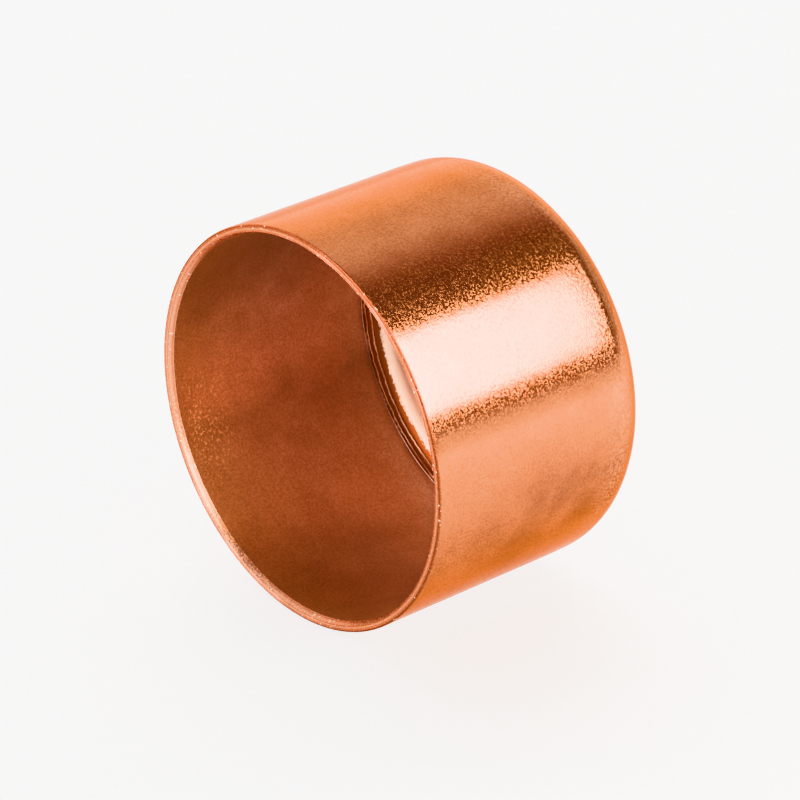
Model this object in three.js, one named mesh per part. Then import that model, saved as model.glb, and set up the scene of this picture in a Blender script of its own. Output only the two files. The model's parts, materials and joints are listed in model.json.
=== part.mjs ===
// A capillary pipe cap (end-feed stop end) for 42 mm copper tube: one cup drawn from a flat copper blank.
//
// Millimetres, +Z up. The cap lies on its side. Its axis is +Y, from the open mouth to the closed end, and
// the origin is on the axis, in the plane of the mouth's rim. The tube enters along +Y and stops on a small
// ledge, where the sizing punch that opened the socket left the original drawn corner standing.

import * as THREE from 'three';

// Driving dimensions.
const TUBE_DIAMETER = 42;
const SOCKET_CLEARANCE = 0.16; // on diameter, the gap that solder fills
const SOCKET_DEPTH = 27; // rim to the ledge that stops the tube
const WALL = 1.1;
const LENGTH = 29.7; // rim to the outside of the closed end
const CORNER_RADIUS = 4.2; // outside corner of the closed end
const MOUTH_CHAMFER_DEPTH = 0.55; // along the axis, deburred edge of the socket
const MOUTH_CHAMFER_WIDTH = 0.35; // radially
const RIM_ROUND = 0.15; // outside edge of the rim

// Worked out from them.
const BORE_RADIUS = (TUBE_DIAMETER + SOCKET_CLEARANCE) / 2;
const OUTER_RADIUS = BORE_RADIUS + WALL;
const DRAW_RADIUS = CORNER_RADIUS - WALL; // inside corner, concentric with the outside one
const CORNER_CENTRE_RADIUS = OUTER_RADIUS - CORNER_RADIUS;
const CORNER_CENTRE_DEPTH = LENGTH - CORNER_RADIUS;
const LEDGE_ANGLE = Math.asin((SOCKET_DEPTH - CORNER_CENTRE_DEPTH) / DRAW_RADIUS); // where the ledge meets the corner

// How finely the round surfaces are cut. A multiple of four, so that flats face down, up and to both sides.
const SIDES = 96;
const CORNER_STEPS = 8;
const INSIDE_CORNER_STEPS = 6;
const RIM_ROUND_STEPS = 3;

// Points on an arc in the profile's plane, where x is the radius from the axis and y is the depth from the rim.
function arc(centreRadius, centreDepth, radius, fromAngle, toAngle, steps) {
  return Array.from({ length: steps + 1 }, (_, i) => {
    const angle = fromAngle + ((toAngle - fromAngle) * i) / steps;
    return new THREE.Vector2(centreRadius + radius * Math.cos(angle), centreDepth + radius * Math.sin(angle));
  });
}

// From the centre of the inside floor, up the socket wall, over the rim and down the outside to the end's centre.
function capProfile() {
  const floorCentre = new THREE.Vector2(0, CORNER_CENTRE_DEPTH + DRAW_RADIUS);
  const insideCorner = arc(
    CORNER_CENTRE_RADIUS, CORNER_CENTRE_DEPTH, DRAW_RADIUS, Math.PI / 2, LEDGE_ANGLE, INSIDE_CORNER_STEPS);
  const socket = [
    new THREE.Vector2(BORE_RADIUS, SOCKET_DEPTH),
    new THREE.Vector2(BORE_RADIUS, MOUTH_CHAMFER_DEPTH),
    new THREE.Vector2(BORE_RADIUS + MOUTH_CHAMFER_WIDTH, 0),
  ];
  const rimRound = arc(
    OUTER_RADIUS - RIM_ROUND, RIM_ROUND, RIM_ROUND, -Math.PI / 2, 0, RIM_ROUND_STEPS);
  const outsideCorner = arc(
    CORNER_CENTRE_RADIUS, CORNER_CENTRE_DEPTH, CORNER_RADIUS, 0, Math.PI / 2, CORNER_STEPS);
  const endCentre = new THREE.Vector2(0, LENGTH);
  return [floorCentre, ...insideCorner, ...socket, ...rimRound, ...outsideCorner, endCentre];
}

function copper() {
  return new THREE.MeshStandardMaterial({ color: 0xd9824f, roughness: 0.28, metalness: 1 });
}

// The lathe turns about Y, which is the cap's axis already. Starting half a side round puts a flat underneath.
function capShell() {
  const shell = new THREE.Mesh(new THREE.LatheGeometry(capProfile(), SIDES, Math.PI / SIDES), copper());
  shell.name = 'cap_shell';
  return shell;
}

const cap = new THREE.Group();
cap.add(capShell());

export default cap;
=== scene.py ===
"""A copper pipe cap on its side on a pale floor: one drawn cup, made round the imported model.

Lengths are in metres, and +Z is up. The cap's axis is +Y, from the open mouth at y = 0 to the closed end,
and the origin is the centre of the mouth. A place on the cup is its radius from the axis, its depth along +Y,
and its turn about the axis, from +X up towards +Z.
"""

import json
import math

import bmesh
import bpy
from mathutils import Matrix, Quaternion, Vector, noise


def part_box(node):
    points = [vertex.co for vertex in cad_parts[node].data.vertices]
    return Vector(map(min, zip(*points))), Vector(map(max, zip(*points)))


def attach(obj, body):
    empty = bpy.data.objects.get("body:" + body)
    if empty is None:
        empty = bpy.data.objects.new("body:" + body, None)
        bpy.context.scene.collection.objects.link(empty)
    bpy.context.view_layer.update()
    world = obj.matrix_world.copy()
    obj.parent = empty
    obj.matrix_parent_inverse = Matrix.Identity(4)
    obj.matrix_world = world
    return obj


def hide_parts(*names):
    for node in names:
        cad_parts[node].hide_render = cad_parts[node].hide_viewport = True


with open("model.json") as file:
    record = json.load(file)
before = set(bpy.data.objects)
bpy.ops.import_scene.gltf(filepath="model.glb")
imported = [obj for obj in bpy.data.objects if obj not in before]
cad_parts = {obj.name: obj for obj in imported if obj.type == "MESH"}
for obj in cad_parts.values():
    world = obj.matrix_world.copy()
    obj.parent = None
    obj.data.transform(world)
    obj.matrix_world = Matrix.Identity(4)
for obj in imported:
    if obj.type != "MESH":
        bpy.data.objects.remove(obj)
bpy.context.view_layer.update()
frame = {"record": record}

MM = 0.001
QUARTER_TURN = math.pi / 2

# ---- the cup's sizes ----

# The socket and the length come from the frame, and the rest are those of the same design.
MOUNTS = {mount["name"]: mount for mount in frame["record"]["mounts"]}
BORE_RADIUS = MOUNTS["tube_socket"]["dims"]["r_mm"] * MM
SOCKET_DEPTH = MOUNTS["tube_socket"]["dims"]["length_mm"] * MM
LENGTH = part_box("cap_shell")[1][1]
WALL = 1.1 * MM
OUTER_RADIUS = BORE_RADIUS + WALL
FLOOR_DEPTH = LENGTH - WALL
# The outside and the inside corner share a centre.
CORNER_RADIUS = 4.2 * MM
INSIDE_CORNER_RADIUS = CORNER_RADIUS - WALL
CORNER_CENTRE_RADIUS = OUTER_RADIUS - CORNER_RADIUS
CORNER_CENTRE_DEPTH = LENGTH - CORNER_RADIUS
# The barrel closes in a little before the outside corner.
ROLL_OFF_LENGTH = 3.2 * MM
ROLL_OFF_DEPTH = 0.05 * MM
MOUTH_CHAMFER_DEPTH = 0.55 * MM
MOUTH_CHAMFER_WIDTH = 0.35 * MM
RIM_ROUND = 0.20 * MM
LEDGE_ROUND = 0.06 * MM

# ---- the marks of making it ----

# Lines round the rim, by their distance out from the bore.
RIM_LINES = (0.46 * MM, 0.70 * MM)
RIM_LINE_WIDTH = 0.07 * MM
RIM_LINE_DEPTH = 0.045 * MM
RIM_LINE_SWAY = 0.03 * MM
# Points this near the mouth have the rim's marks.
RIM_MARKS_DEPTH = 0.3 * MM
# The rim's outer lip is ragged from this distance out from the bore.
LIP_START = 0.9 * MM
LIP_DENT = 0.020 * MM
LIP_WEAR = 0.030 * MM
# Lines raised round the inside, past the tube stop, by their depth.
DRAWN_LINES = (27.10 * MM, 27.55 * MM)
DRAWN_LINE_WIDTH = 0.06 * MM
DRAWN_LINE_HEIGHT = 0.035 * MM
DRAWN_LINE_SWAY = 0.10 * MM
# A multiple of a line's place that gives each line a sway of its own.
LINE_SEED = 9e3
# The drawn corner ripples along the axis from a little before the stop, and the walls and the end are wavy.
RIPPLE = 0.05 * MM
RIPPLE_START = SOCKET_DEPTH - 0.5 * MM
WAVINESS = 0.012 * MM
END_WAVINESS = 0.010 * MM
# How fast the waves change along the socket and the barrel, and how their rate round the end grows outward.
SOCKET_WAVES = 60
BARREL_WAVES = 110
END_WAVES = 260
END_DISH = 0.10 * MM
# Points nearer the axis and nearer the mouth than these are marked as the inside. A narrow ring round the
# outside corner is among them, and ripples like the corner inside it.
INSIDE_RADIUS = BORE_RADIUS + 0.01 * MM
INSIDE_DEPTH = LENGTH - 1.05 * MM

# ---- the camera: it looks at the cap past its mouth, through a long lens ----

CAMERA_AZIMUTH = math.radians(48.8)
CAMERA_ELEVATION = math.radians(26.53)
CAMERA_DISTANCE = 21.41 * OUTER_RADIUS
CAMERA_RIGHT = -0.0233 * OUTER_RADIUS
CAMERA_UP = -0.0579 * OUTER_RADIUS
CAMERA_ROLL = math.radians(-0.32)
LENS_MM = 202.45
SENSOR_MM = 36.0
CLIP_START = 0.01
CLIP_END = 20


def towards(azimuth, elevation):
    """The direction at azimuth round from the mouth's, towards +X, and at elevation."""
    level = math.cos(elevation)
    return Vector((math.sin(azimuth) * level, -math.cos(azimuth) * level, math.sin(elevation)))


def place_camera():
    back = towards(CAMERA_AZIMUTH, CAMERA_ELEVATION)
    right = Vector((math.cos(CAMERA_AZIMUTH), math.sin(CAMERA_AZIMUTH), 0))
    up = back.cross(right)
    camera = bpy.data.objects.new("camera", bpy.data.cameras.new("camera"))
    bpy.context.scene.collection.objects.link(camera)
    camera.data.lens = LENS_MM
    camera.data.sensor_width = SENSOR_MM
    camera.data.clip_start = CLIP_START
    camera.data.clip_end = CLIP_END
    middle = Vector((0, LENGTH / 2, 0))
    camera.location = middle + back * CAMERA_DISTANCE + right * CAMERA_RIGHT + up * CAMERA_UP
    camera.rotation_mode = "QUATERNION"
    camera.rotation_quaternion = Quaternion(back, CAMERA_ROLL) @ (-back).to_track_quat("-Z", "Y")
    bpy.context.scene.camera = camera


# ---- the cup's section: (radius, depth) from the middle of the inside floor to the middle of the end ----


def arc(centre, size, start, end, steps):
    """Points on an arc about centre, with both ends. Its angles run from outward, at 0, to deeper."""
    angles = [start + (end - start) * i / steps for i in range(steps + 1)]
    return [(centre[0] + size * math.cos(a), centre[1] + size * math.sin(a)) for a in angles]


def line(a, b, steps):
    """Points from a to b, without the ends."""
    return [(a[0] + (b[0] - a[0]) * i / steps, a[1] + (b[1] - a[1]) * i / steps) for i in range(1, steps)]


def roll_off(steps):
    """The barrel's last stretch before the corner, a parabola that starts along the barrel."""
    shares = [i / steps for i in range(steps + 1)]
    start_depth = CORNER_CENTRE_DEPTH - ROLL_OFF_LENGTH
    return [(OUTER_RADIUS - ROLL_OFF_DEPTH * t * t, start_depth + ROLL_OFF_LENGTH * t) for t in shares]


def cup_stretches():
    """The section in stretches, one for each finish: the drawn inside, the socket, the rim, arris and barrel.

    The barrel's stretch includes the outside of the closed end.
    """
    floor_middle = (0, FLOOR_DEPTH)
    end_middle = (0, LENGTH)
    ledge_root = (BORE_RADIUS - LEDGE_ROUND, SOCKET_DEPTH)
    ledge_end = (BORE_RADIUS, SOCKET_DEPTH - LEDGE_ROUND)
    chamfer_start = (BORE_RADIUS, MOUTH_CHAMFER_DEPTH)
    chamfer_end = (BORE_RADIUS + MOUTH_CHAMFER_WIDTH, 0)

    inside_centre = (CORNER_CENTRE_RADIUS, CORNER_CENTRE_DEPTH)
    stop_angle = math.asin((SOCKET_DEPTH - CORNER_CENTRE_DEPTH) / INSIDE_CORNER_RADIUS)
    inside_corner = arc(inside_centre, INSIDE_CORNER_RADIUS, QUARTER_TURN, stop_angle, steps=30)
    draw = [floor_middle, *line(floor_middle, inside_corner[0], steps=14), *inside_corner, ledge_root]

    socket = [ledge_end, *line(ledge_end, chamfer_start, steps=30), chamfer_start]

    arris = arc((OUTER_RADIUS - RIM_ROUND, RIM_ROUND), RIM_ROUND, -QUARTER_TURN, 0, steps=6)
    chamfer = line(chamfer_start, chamfer_end, steps=5)
    rim = [*chamfer, chamfer_end, *line(chamfer_end, arris[0], steps=16)]

    # The corner's arc takes over from the parabola at the same slope.
    closing_in = roll_off(steps=12)
    outside_centre = (CORNER_CENTRE_RADIUS - ROLL_OFF_DEPTH, CORNER_CENTRE_DEPTH)
    slope_angle = math.atan(2 * ROLL_OFF_DEPTH / ROLL_OFF_LENGTH)
    outside_corner = arc(outside_centre, CORNER_RADIUS, slope_angle, QUARTER_TURN, steps=28)
    side = line(arris[-1], closing_in[0], steps=24)
    end = [*line(outside_corner[-1], end_middle, steps=14), end_middle]
    barrel = [*side, *closing_in, *outside_corner, *end]

    return draw, socket, rim, arris, barrel


# ---- the section turned about the axis, with its marks ----

SIDES = 480
SHARP_ANGLE = math.radians(25)


def hump(value, middle, width):
    return math.exp(-(((value - middle) / width) ** 2))


def wander(turn, rate, seed):
    """Smooth noise from -1 to 1 that closes up round the cap, with about rate swings in a radian."""
    return noise.noise(Vector((rate * math.cos(turn), rate * math.sin(turn), seed)))


def lined(place, turn, lines, width, sway, rate):
    """How much of a line's height there is at place, where each line sways to both sides of its own place."""
    return sum(hump(place, at + sway * wander(turn, rate, at * LINE_SEED), width) for at in lines)


def marked_rim(radius, depth, turn):
    """The rim with its lines and its ragged lip."""
    from_bore = radius - BORE_RADIUS
    if from_bore > LIP_START:
        ragged = wander(turn, rate=42, seed=3.1) + 0.6 * wander(turn, rate=16, seed=7.7)
        return radius + LIP_DENT * min(ragged, 0.0), depth + LIP_WEAR * abs(ragged)
    lines = lined(from_bore, turn, RIM_LINES, RIM_LINE_WIDTH, RIM_LINE_SWAY, rate=3)
    unevenness = 0.8 + 0.6 * wander(turn, rate=9, seed=1.4)
    return radius, depth + RIM_LINE_DEPTH * lines * unevenness


def marked_corner(radius, depth, turn):
    """The corner, which ripples along the axis more the farther out it is, with the lines past the stop."""
    ripple = RIPPLE * wander(turn, rate=5, seed=2.3) * (radius / BORE_RADIUS) ** 4
    lines = lined(depth, turn, DRAWN_LINES, DRAWN_LINE_WIDTH, DRAWN_LINE_SWAY, rate=7)
    return radius - DRAWN_LINE_HEIGHT * lines, depth + ripple


def marked_end(radius, depth, turn):
    """The outside of the closed end, a little dished."""
    dish = END_DISH * (1 - (radius / CORNER_CENTRE_RADIUS) ** 2) ** 2
    return radius, depth - dish - END_WAVINESS * abs(wander(turn, rate=radius * END_WAVES, seed=4.2))


def marked(radius, depth, turn):
    """Where a point of the section really is at this turn."""
    if depth < RIM_MARKS_DEPTH:
        return marked_rim(radius, depth, turn)
    if radius < INSIDE_RADIUS and depth < INSIDE_DEPTH:
        if depth > RIPPLE_START:
            return marked_corner(radius, depth, turn)
        return radius + WAVINESS * wander(turn, rate=2.5, seed=depth * SOCKET_WAVES), depth
    if radius < CORNER_CENTRE_RADIUS:
        return marked_end(radius, depth, turn)
    return radius - WAVINESS * abs(wander(turn, rate=2.2, seed=depth * BARREL_WAVES)), depth


def turned(stretches, name):
    """A closed surface of revolution about Y, whose section starts and ends on the axis.

    A face takes the number of the stretch that its far ring belongs to as its material's number.
    """
    section = [point for stretch in stretches for point in stretch]
    finish = [number for number, stretch in enumerate(stretches) for _ in stretch]
    bm = bmesh.new()
    first = bm.verts.new((0, section[0][1], 0))
    last = bm.verts.new((0, marked(*section[-1], 0)[1], 0))
    rings = []
    for radius, depth in section[1:-1]:
        ring = []
        for side in range(SIDES):
            turn = 2 * math.pi * side / SIDES
            r, y = marked(radius, depth, turn)
            ring.append(bm.verts.new((r * math.cos(turn), y, r * math.sin(turn))))
        rings.append(ring)
    for i in range(SIDES):
        j = (i + 1) % SIDES
        bm.faces.new((first, rings[0][j], rings[0][i])).material_index = finish[1]
        for number, (near, far) in enumerate(zip(rings, rings[1:])):
            bm.faces.new((near[i], near[j], far[j], far[i])).material_index = finish[number + 2]
        bm.faces.new((last, rings[-1][i], rings[-1][j])).material_index = finish[-1]
    bmesh.ops.recalc_face_normals(bm, faces=bm.faces)
    mesh = bpy.data.meshes.new(name)
    bm.to_mesh(mesh)
    bm.free()
    mesh.shade_smooth()
    mesh.set_sharp_from_angle(angle=SHARP_ANGLE)
    made = bpy.data.objects.new(name, mesh)
    bpy.context.scene.collection.objects.link(made)
    return made


# ---- node graphs ----


# A colour mix's share and its two colours among the Mix node's inputs, and its result among the outputs.
MIX_INPUTS = (0, 6, 7)
MIX_RESULT = 2


class Graph:
    """A short way to write the nodes of a material or of the world.

    A value is a number, a colour of three channels, or another node's output.
    """

    def __init__(self, tree):
        self.nodes = tree.nodes
        self.links = tree.links

    def put(self, value, socket):
        """Feeds value to the socket."""
        if isinstance(value, bpy.types.NodeSocket):
            self.links.new(value, socket)
        elif isinstance(value, tuple):
            socket.default_value = (*value, 1)
        else:
            socket.default_value = value

    def add(self, kind, inputs=None, **settings):
        """A node with these settings, and with these values at its inputs, by name or number."""
        node = self.nodes.new(kind)
        for key, value in settings.items():
            setattr(node, key, value)
        for key, value in (inputs or {}).items():
            self.put(value, node.inputs[key])
        return node

    def maths(self, operation, *values, **settings):
        node = self.add("ShaderNodeMath", dict(enumerate(values)), operation=operation, **settings)
        return node.outputs[0]

    def product(self, first, *others):
        for other in others:
            first = self.maths("MULTIPLY", first, other)
        return first

    def mapped(self, value, low, high, to_low, to_high):
        """The value carried from low..high to to_low..to_high, and held at the ends."""
        inputs = {"Value": value, "From Min": low, "From Max": high, "To Min": to_low, "To Max": to_high}
        return self.add("ShaderNodeMapRange", inputs).outputs["Result"]

    def share(self, value, absent, full):
        """0 where value is at absent, 1 where it is at full, and in a straight line between."""
        return self.mapped(value, absent, full, 0.0, 1.0)

    def blend(self, share, low, high, **settings):
        """The colour from low to high by share."""
        mix = self.add("ShaderNodeMix", data_type="RGBA", **settings)
        for number, value in zip(MIX_INPUTS, (share, low, high)):
            self.put(value, mix.inputs[number])
        return mix.outputs[MIX_RESULT]

    def times(self, colour, shares):
        """The colour with each channel multiplied by its share."""
        return self.blend(1.0, colour, shares, blend_type="MULTIPLY")

    def ramp(self, along, stops):
        """The colour at along, by stops of (place, colour) whose places run from 0 to 1."""
        node = self.add("ShaderNodeValToRGB", {"Fac": along})
        elements = node.color_ramp.elements
        for place, colour in stops[1:-1]:
            elements.new(place).color = (*colour, 1)
        elements[0].color = (*stops[0][1], 1)
        elements[-1].color = (*stops[-1][1], 1)
        return node.outputs["Color"]


class Finish(Graph):
    """A material with one Principled shader."""

    def __init__(self, name):
        self.material = bpy.data.materials.new(name)
        self.material.use_nodes = True
        super().__init__(self.material.node_tree)
        self.shader = self.nodes["Principled BSDF"]

    def set(self, **inputs):
        """Feeds the shader's inputs, whose names are written with _ for a space."""
        for key, value in inputs.items():
            self.put(value, self.shader.inputs[key.replace("_", " ")])
        return self.material


# The share of each channel that a stain leaves.
DULLER = (0.68, 0.60, 0.56)


class Copper(Finish):
    """Bare copper whose base colour and roughness can change over the surface."""

    def __init__(self, name, edge_tint, metallic=1.0):
        super().__init__(name)
        self.where = self.add("ShaderNodeTexCoord").outputs["Object"]
        at = self.add("ShaderNodeSeparateXYZ", {0: self.where})
        self.x, self.y, self.z = at.outputs
        self.set(Metallic=metallic, Specular_Tint=edge_tint)

    def radius(self):
        """The distance from the cap's axis."""
        squares = [self.maths("POWER", offset, 2.0) for offset in (self.x, self.z)]
        return self.maths("SQRT", self.maths("ADD", *squares))

    def noise(self, cell, detail, roughness=0.5):
        """Noise whose lumps are about cell metres across."""
        inputs = {"Vector": self.where, "Scale": 1 / cell, "Detail": detail, "Roughness": roughness}
        return self.add("ShaderNodeTexNoise", inputs).outputs["Fac"]

    def patches(self, cell, detail, absent, full, most=1.0, least=0.0, roughness=0.5):
        """Patches about cell across: least where their noise is at absent, and most where it is at full."""
        return self.mapped(self.noise(cell, detail, roughness), absent, full, least, most)

    def swing(self, cell, reach):
        """Noise of cell that swings by about reach to both sides of 0."""
        return self.patches(cell, detail=3.0, absent=0.3, full=0.7, least=-reach, most=reach)

    def grain(self, height, cell=0.24 * MM):
        """The orange peel that drawing leaves, height deep and cell across."""
        peel = self.noise(cell, detail=2.0, roughness=0.6)
        bump = self.add("ShaderNodeBump", {"Height": peel, "Distance": height, "Strength": 1.0})
        self.set(Normal=bump.outputs["Normal"])

    def stained(self, colour, duller=DULLER):
        """The colour in clouds and in fine specks, and between them the duller stain."""
        cloud = self.patches(4 * MM, detail=5.0, roughness=0.6, absent=0.35, full=0.65, most=0.35)
        speck = self.patches(0.26 * MM, detail=2.0, roughness=0.7, absent=0.38, full=0.60, most=0.65)
        return self.blend(self.maths("ADD", cloud, speck), self.times(colour, duller), colour)

    def speckled(self, smooth, rough, cell=0.26 * MM, low=0.50, high=0.66):
        """Roughness in spots about cell across: smooth where their noise is low, rough where it is high."""
        return self.patches(cell, detail=1.5, absent=low, full=high, least=smooth, most=rough)

    def finish(self, colour, roughness):
        return self.set(Base_Color=colour, Roughness=roughness)


# ---- the finishes ----

# The metal at grazing angles.
EDGE = (0.90, 0.52, 0.36)
DULL_EDGE = (0.7, 0.36, 0.24)

BARREL = (0.82, 0.330, 0.165)
# The duller colour painted low on the barrel's sides as shade.
PAINTED_LOW_SHADE = (0.50, 0.190, 0.100)
# A paler colour painted in grains near the corner as glints.
PAINTED_CORNER_GLINT = (1.0, 0.50, 0.30)

# The rim and its outer arris. The arris is painted dark as shade. Each has another colour painted at its
# lower left, a highlight on the rim and darker shade on the arris.
RIM = (0.80, 0.345, 0.195)
RIM_PAINTED_HIGHLIGHT = (1.0, 0.54, 0.36)
ARRIS_PAINTED_SHADE = (0.40, 0.125, 0.055)
ARRIS_LOWER_LEFT_PAINTED_SHADE = (0.34, 0.105, 0.045)
# Bright spots painted on the rim as glints.
PAINTED_GLINT = (1.0, 0.78, 0.62)
# The shares of each channel that the dark lines round the rim and its stains leave.
RIM_LINE_SHARES = (0.68, 0.46, 0.36)
RIM_DULLER = (0.82, 0.76, 0.72)

SOCKET = (0.79, 0.445, 0.330)
SOCKET_MOUTH = (0.72, 0.318, 0.165)
SOCKET_DULLER = (0.62, 0.58, 0.56)
# Bright spots painted in the socket as glints.
SOCKET_PAINTED_GLINT = (1.0, 0.56, 0.28)
BLACK = (0.0, 0.0, 0.0)

# The inside past the tube stop: a band painted dark as shade, with bright lines painted through it, a pale
# ring lit by the front light and painted paler as a highlight, and the middle of the floor.
PAINTED_SHADE_BAND = (0.165, 0.038, 0.013)
PAINTED_BRIGHT_LINE = (0.80, 0.40, 0.26)
PAINTED_HIGHLIGHT_DRAWN = (0.98, 0.73, 0.57)
DRAWN_MIDDLE = (0.87, 0.43, 0.27)
# The roughness of the bright ring, and how much smoother the painted dark band and the middle of the floor
# are.
BRIGHT_ROUGHNESS = 0.50
BAND_SMOOTHER = 0.10
MIDDLE_SMOOTHER = 0.12

# The places between which something on the surface comes in: where it is absent, and where it is full.
PAINTED_SHADE_BELOW = (0.06 * OUTER_RADIUS, -0.18 * OUTER_RADIUS)
PAINTED_SHADE_ABOVE = (-0.68 * OUTER_RADIUS, -0.42 * OUTER_RADIUS)
PAINTED_SHADE_DEPTHS = (0.05 * LENGTH, 0.55 * LENGTH)
OFF_THE_END = (LENGTH - 0.3 * CORNER_RADIUS, CORNER_CENTRE_DEPTH)
PAINTED_CORNER_GLINT_DEPTHS = (0.74 * LENGTH, 0.90 * LENGTH)
LOWER_LEFT = (0.15 * OUTER_RADIUS, 0.80 * OUTER_RADIUS)
# The socket is painted darker, as shade, between these depths.
SOCKET_PAINTED_SHADE_DEPTHS = (0.35 * SOCKET_DEPTH, SOCKET_DEPTH)
SOCKET_COLOUR_DEPTHS = (2 * MM, 15 * MM)
PAINTED_GLINTS_INWARD = (0.8 * MM, 2.0 * MM)
PAINTED_GLINTS_OUTWARD = (9 * MM, 3 * MM)
PAINTED_GLINTS_LEFT = (-0.72 * BORE_RADIUS, -0.90 * BORE_RADIUS)
PAINTED_GLINTS_LOW = (-0.02 * BORE_RADIUS, -0.20 * BORE_RADIUS)
BRIGHT_DEPTHS = (28.04 * MM, 28.24 * MM)
MIDDLE_RADII = (0.83 * BORE_RADIUS, 0.72 * BORE_RADIUS)
# A painted bright line fades out between these distances from its middle.
PAINTED_LINE_EDGE = (0.02 * MM, 0.07 * MM)
PAINTED_LINE_STRENGTH = 0.85
PAINTED_LINE_RAGGEDNESS = 0.4
# The painted shade's strength at the mouth, as a share of what it is farther in.
PAINTED_SHADE_AT_MOUTH = 0.25
# The way to the rim's lower left, in X and Z.
LOWER_LEFT_X = -0.9
LOWER_LEFT_Z = -0.45
# The lines cut round the rim are about this wide, and fade between these values of their noise.
CUT_LINE_WIDTH = 0.17 * MM
CUT_LINE_EDGE = (0.42, 0.54)


def barrel_copper():
    """Bright drawn metal. Low on its sides a duller colour is painted in clouds as shade."""
    g = Copper("copper_barrel", EDGE)
    g.grain(height=0.008 * MM)
    off_end = g.share(g.y, *OFF_THE_END)
    from_mouth = g.mapped(g.y, *PAINTED_SHADE_DEPTHS, PAINTED_SHADE_AT_MOUTH, 1.0)
    cloud = g.patches(5 * MM, detail=4.0, absent=0.35, full=0.65, least=0.55, most=1.15)
    # Painted shade: low on the sides, stronger away from the mouth, and fading out on the closed end.
    height = g.product(g.share(g.z, *PAINTED_SHADE_BELOW), g.share(g.z, *PAINTED_SHADE_ABOVE))
    painted_shade = g.product(height, from_mouth, cloud, off_end)
    # Paler grains are painted near the corner as glints.
    glint_spots = g.patches(0.30 * MM, detail=1.5, absent=0.46, full=0.62, most=0.65)
    painted_corner_glints = g.product(glint_spots, g.share(g.y, *PAINTED_CORNER_GLINT_DEPTHS), off_end)
    colour = g.blend(painted_corner_glints, g.stained(g.blend(painted_shade, BARREL, PAINTED_LOW_SHADE)), PAINTED_CORNER_GLINT)
    return g.finish(colour, g.speckled(smooth=0.11, rough=0.26, cell=0.24 * MM, low=0.43, high=0.64))


def rim_copper(name, colour, lower_left_painted):
    """Cut metal with dark lines round it, a few bright spots painted as glints, and another colour painted at
    its lower left, a highlight on the rim and shade on the arris.
    """
    g = Copper(name, EDGE, metallic=0.8)
    g.grain(height=0.006 * MM, cell=0.3 * MM)
    leftward = g.maths("MULTIPLY", g.x, LOWER_LEFT_X)
    lower_left = g.share(g.maths("MULTIPLY_ADD", g.z, LOWER_LEFT_Z, leftward), *LOWER_LEFT)
    # The lower left is painted: lighter as a highlight on the rim, darker as shade on the arris.
    side_painted = g.blend(lower_left, colour, lower_left_painted)
    cuts = {"W": g.radius(), "Scale": 1 / CUT_LINE_WIDTH, "Detail": 0.0}
    lathe = g.add("ShaderNodeTexNoise", cuts, noise_dimensions="1D").outputs["Fac"]
    between_lines = g.share(lathe, *CUT_LINE_EDGE)
    cut = g.blend(between_lines, g.times(side_painted, RIM_LINE_SHARES), side_painted)
    # Bright spots painted as glints.
    painted_glint_spots = g.patches(0.42 * MM, detail=1.0, absent=0.68, full=0.73, most=0.9)
    with_painted_glints = g.blend(painted_glint_spots, g.stained(cut, RIM_DULLER), PAINTED_GLINT)
    return g.finish(with_painted_glints, g.speckled(smooth=0.26, rough=0.40))


# How bright the bands of light and shade painted along the socket, as a painted reflection, leave its metal,
# by the turn about the axis, in degrees.
SOCKET_PAINTED_BANDS = (
    (0, 0.92),
    (110, 0.78),
    (137, 0.67),
    (152, 0.67),
    (164, 0.75),
    (177, 1.02),
    (190, 1.02),
    (203, 0.70),
    (214, 0.88),
    (230, 1.02),
    (242, 0.94),
    (254, 0.74),
    (268, 0.74),
    (282, 0.80),
    (360, 0.92),
)
# The ramp holds those shares divided by this scale, which keeps them under 1.
SHARE_SCALE = 1.12
# How much of its brightness the socket still has at the stop, under the painted shade.
PAINTED_SHADE_AT_STOP = 0.76


def socket_copper():
    """The socket is dull and stained, with bands of light and shade painted along its length and shade
    painted darker towards the stop.
    """
    g = Copper("copper_socket", DULL_EDGE, metallic=0.5)
    g.set(Specular_IOR_Level=0.2)
    g.grain(height=0.012 * MM)
    # ARCTAN2 starts at minus half a turn, opposite +X. Turned round, with half a turn added, it starts at +X.
    opposite = [g.maths("MULTIPLY", offset, -1) for offset in (g.z, g.x)]
    unsteady = g.swing(6 * MM, reach=0.10)
    radians = g.maths("ADD", g.maths("ARCTAN2", *opposite), unsteady)
    turns = g.maths("ADD", g.maths("DIVIDE", radians, 2 * math.pi), 0.5)
    greys = [(degrees / 360, (share / SHARE_SCALE,) * 3) for degrees, share in SOCKET_PAINTED_BANDS]
    # Painted shade: darker towards the stop.
    painted_shade_inward = g.mapped(g.y, *SOCKET_PAINTED_SHADE_DEPTHS, SHARE_SCALE, SHARE_SCALE * PAINTED_SHADE_AT_STOP)
    brightness = g.product(g.ramp(turns, greys), painted_shade_inward)
    metal = g.blend(g.share(g.y, *SOCKET_COLOUR_DEPTHS), SOCKET_MOUTH, SOCKET)
    colour = g.stained(g.blend(brightness, BLACK, metal), SOCKET_DULLER)
    # Bright spots painted as glints on the left wall, just inside the mouth.
    glint_spots = g.patches(0.30 * MM, detail=1.0, absent=0.57, full=0.65, most=0.85)
    by_mouth = g.product(g.share(g.y, *PAINTED_GLINTS_INWARD), g.share(g.y, *PAINTED_GLINTS_OUTWARD))
    on_left = g.product(g.share(g.x, *PAINTED_GLINTS_LEFT), g.share(g.z, *PAINTED_GLINTS_LOW))
    socket_painted_glints = g.product(glint_spots, by_mouth, on_left)
    roughness = g.speckled(smooth=0.30, rough=0.42, cell=0.20 * MM, low=0.40)
    return g.finish(g.blend(socket_painted_glints, colour, SOCKET_PAINTED_GLINT), roughness)


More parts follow.
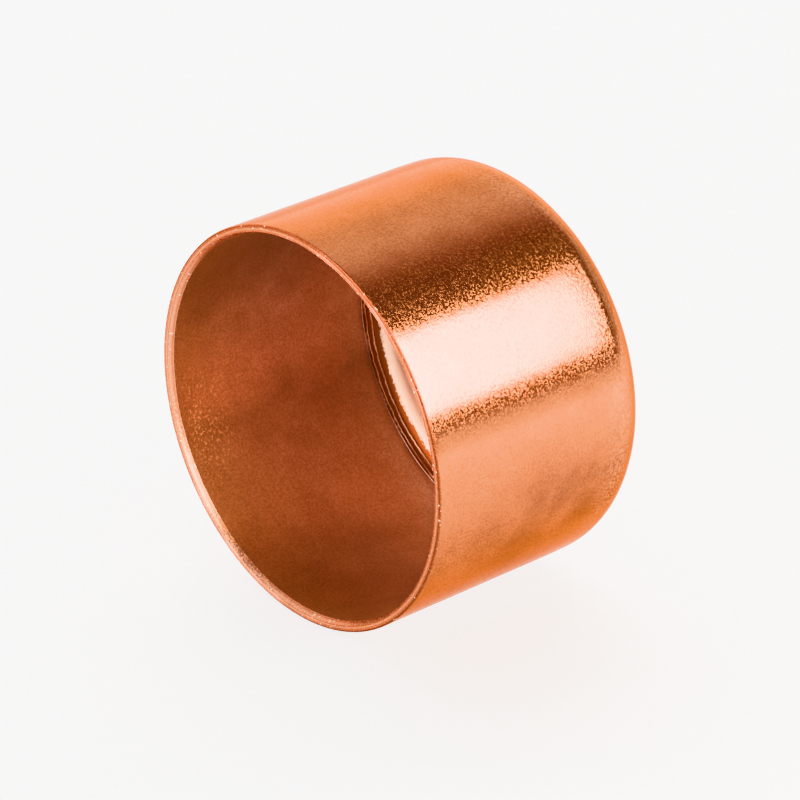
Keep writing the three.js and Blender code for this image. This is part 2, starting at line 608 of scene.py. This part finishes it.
def drawn_copper():
    """Past the stop a band is painted dark as shade with bright lines painted through it, then a pale ring,
    lit by the front light, is painted paler as a highlight across the closed end's inside.
    """
    g = Copper("copper_drawn", EDGE)
    g.grain(height=0.010 * MM)
    ragged = g.swing(0.4 * MM, reach=0.10 * MM)
    bright = g.share(g.maths("ADD", g.y, ragged), *BRIGHT_DEPTHS)
    unsteady = g.maths("MULTIPLY_ADD", ragged, PAINTED_LINE_RAGGEDNESS, g.swing(2.5 * MM, reach=0.06 * MM))
    depth = g.maths("ADD", g.y, unsteady)
    off_lines = [g.maths("ABSOLUTE", g.maths("SUBTRACT", depth, at)) for at in DRAWN_LINES]
    painted_lines = g.maths("ADD", *(g.mapped(off, *PAINTED_LINE_EDGE, PAINTED_LINE_STRENGTH, 0.0) for off in off_lines))
    middle = g.share(g.radius(), *MIDDLE_RADII)
    painted_highlight_to_middle = g.blend(middle, PAINTED_HIGHLIGHT_DRAWN, g.stained(DRAWN_MIDDLE))
    # A band painted dark as shade, with bright lines painted through it, and beyond it the painted highlight.
    colour = g.blend(bright, g.blend(painted_lines, PAINTED_SHADE_BAND, PAINTED_BRIGHT_LINE), painted_highlight_to_middle)
    off_middle = g.maths("MULTIPLY_ADD", bright, BAND_SMOOTHER, BRIGHT_ROUGHNESS - BAND_SMOOTHER)
    return g.finish(colour, g.maths("MULTIPLY_ADD", middle, -MIDDLE_SMOOTHER, off_middle))


# ---- the studio ----

FLOOR_SIZE = 12
FLOOR_GREY = (0.15, 0.15, 0.15)
FLOOR_GLOW = 0.95
WHITE = (1, 1, 1)


def floor_material():
    """White acrylic lit from below, which keeps the copper's own colour and shadow off it."""
    g = Finish("studio_floor")
    g.set(Base_Color=FLOOR_GREY, Roughness=0.9, Specular_IOR_Level=0.1)
    return g.set(Emission_Color=WHITE, Emission_Strength=FLOOR_GLOW)


def floor():
    bpy.ops.mesh.primitive_plane_add(size=FLOOR_SIZE, location=(0, 0, -OUTER_RADIUS))
    plane = bpy.context.object
    plane.name = "studio_floor"
    plane.data.materials.append(floor_material())


# The room's radiance by the turn about the cap's axis, in degrees. Below the horizontal it stays as at 0.
ROOM = (
    (0, 1.1),
    (4, 0.42),
    (14, 0.22),
    (68, 0.19),
    (86, 0.21),
    (95, 0.33),
    (106, 0.70),
    (116, 0.96),
    (136, 1.02),
    (146, 1.18),
    (156, 1.7),
    (166, 2.4),
    (176, 3.6),
    (180, 4.4),
)
BRIGHTEST = max(radiance for _, radiance in ROOM)
# Towards each end of the axis the room has one radiance, which takes over between these components along it.
ROOM_FRONT = 1.6
ROOM_BACK = 0.8
ENDWARD = (0.86, 0.985)
# The room's dark parts are warm, by a tint that fades out between two radiances.
WARM = (1.0, 0.65, 0.66)
WARM_UP_TO = 0.4
WHITE_FROM = 0.9


def room_colour(radiance):
    """The room's light as a share of its brightest."""
    warmth = min(max((WHITE_FROM - radiance) / (WHITE_FROM - WARM_UP_TO), 0.0), 1.0)
    return tuple(radiance / BRIGHTEST * (1 - warmth * (1 - channel)) for channel in WARM)


def room():
    """Light that changes round the cap's axis, and is even towards the axis's two ends."""
    world = bpy.data.worlds.new("studio")
    bpy.context.scene.world = world
    world.use_nodes = True
    g = Graph(world.node_tree)
    x, y, z = g.add("ShaderNodeSeparateXYZ", {0: g.add("ShaderNodeTexCoord").outputs["Generated"]}).outputs
    half_turns = g.maths("DIVIDE", g.maths("ARCTAN2", z, x), math.pi, use_clamp=True)
    around = g.ramp(half_turns, [(degrees / 180, room_colour(radiance)) for degrees, radiance in ROOM])
    ends = g.mapped(y, -1, 1, ROOM_FRONT / BRIGHTEST, ROOM_BACK / BRIGHTEST)
    endward = g.share(g.maths("ABSOLUTE", y), *ENDWARD)
    background = g.nodes["Background"]
    g.put(g.blend(endward, around, ends), background.inputs["Color"])
    g.put(BRIGHTEST, background.inputs["Strength"])


def softbox(name, centre, facing, width, length, radiance, along=(0, 1, 0)):
    """A flat light at centre that faces the point facing. length runs as nearly along `along` as it can."""
    light = bpy.data.lights.new(name, "AREA")
    light.shape = "RECTANGLE"
    light.size = width
    light.size_y = length
    light.energy = radiance * math.pi * width * length
    box = bpy.data.objects.new(name, light)
    bpy.context.scene.collection.objects.link(box)
    box.location = centre
    z = (Vector(centre) - Vector(facing)).normalized()
    y = Vector(along)
    y = (y - z * y.dot(z)).normalized()
    x = y.cross(z)
    box.rotation_mode = "QUATERNION"
    box.rotation_quaternion = Matrix((x, y, z)).transposed().to_quaternion()
    box.visible_camera = False
    return box


# The key light is a long box beside the barrel, up from +X, and parallel to the cap's axis.
KEY_TURN = math.radians(37)
KEY_DISTANCE = 0.35
KEY_HALF_ANGLE = math.radians(21)
KEY_START = -0.22
KEY_END = 0.292
KEY_RADIANCE = 24
KEY_COLOUR = (1.0, 1.0, 0.82)

# The front light faces the mouth, a little to the left of its axis.
FRONT_AZIMUTH = math.radians(-12)
FRONT_ELEVATION = math.radians(14)
FRONT_DISTANCE = 0.62
FRONT_WIDTH = 0.46
FRONT_LENGTH = 0.56
FRONT_RADIANCE = 10

# The fill stands behind the cap, on its left.
FILL_PLACE = (-0.65, 0.45, 0.75)
FILL_SIZE = 1.1
FILL_RADIANCE = 12

# The glow faces down beside the cap, on its right.
GLOW_PLACE = (0.15, 0.09, 0.05)
GLOW_AIM = (0.15, 0.09, -0.02)
GLOW_WIDTH = 0.09
GLOW_LENGTH = 0.24
GLOW_RADIANCE = 14


def key_light():
    """The highlight along the barrel. It is only mirrored, and lights nothing else."""
    depth = (KEY_START + KEY_END) / 2
    centre = Vector((KEY_DISTANCE * math.cos(KEY_TURN), depth, KEY_DISTANCE * math.sin(KEY_TURN)))
    width = 2 * KEY_DISTANCE * math.tan(KEY_HALF_ANGLE)
    key = softbox("key_softbox", centre, (0, depth, 0), width, KEY_END - KEY_START, KEY_RADIANCE)
    key.data.color = KEY_COLOUR
    key.visible_diffuse = False


def front_light():
    """What the inside of the closed end and the rim mirror. It too lights nothing else."""
    middle = Vector((0, LENGTH / 2, 0))
    centre = middle + towards(FRONT_AZIMUTH, FRONT_ELEVATION) * FRONT_DISTANCE
    size = (FRONT_WIDTH, FRONT_LENGTH)
    front = softbox("front_softbox", centre, middle, *size, FRONT_RADIANCE, along=(0, 0, 1))
    front.visible_diffuse = False


def soft_lights():
    """Light for the floor, and a little for the socket and the rim. It isn't mirrored in the metal."""
    middle = (0, LENGTH / 2, 0)
    fill = softbox("fill_softbox", FILL_PLACE, middle, FILL_SIZE, FILL_SIZE, FILL_RADIANCE)
    glow = softbox("floor_glow", GLOW_PLACE, GLOW_AIM, GLOW_WIDTH, GLOW_LENGTH, GLOW_RADIANCE)
    for light in (fill, glow):
        light.visible_glossy = False


place_camera()
cap = turned(cup_stretches(), "copper_cap")
for material in (
    drawn_copper(),
    socket_copper(),
    rim_copper("copper_cut_rim", RIM, RIM_PAINTED_HIGHLIGHT),
    rim_copper("copper_arris", ARRIS_PAINTED_SHADE, ARRIS_LOWER_LEFT_PAINTED_SHADE),
    barrel_copper(),
):
    cap.data.materials.append(material)
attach(cap, "root")
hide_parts("cap_shell")
floor()
room()
key_light()
front_light()
soft_lights()
bpy.context.scene.view_settings.view_transform = "Khronos PBR Neutral"
